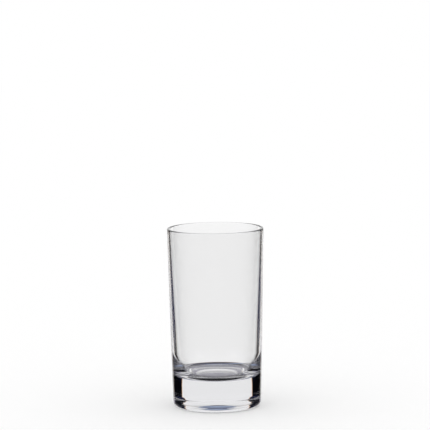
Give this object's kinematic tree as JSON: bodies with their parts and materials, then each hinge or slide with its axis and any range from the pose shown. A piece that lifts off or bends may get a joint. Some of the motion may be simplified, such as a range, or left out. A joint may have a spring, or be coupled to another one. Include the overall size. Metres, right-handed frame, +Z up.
{
  "type": "juice glass",
  "caption": "Small straight-sided clear tumbler for juice, slightly tapered, with a thin rounded lip and a thick solid base.",
  "frame": {"origin": "centre of the ring that the glass stands on, on its axis", "axes": "+Z up along the axis of revolution, which is also the longest way; X and Y are alike"},
  "size_m": [0.058, 0.058, 0.108],
  "materials": {
    "clear_glass": "clear colourless soda-lime glass, smooth and fire polished, with a faint waviness and fine wear on the ring it stands on"
  },
  "bodies": {
    "root": {"tumbler": "clear_glass"}
  },
  "joints": []
}
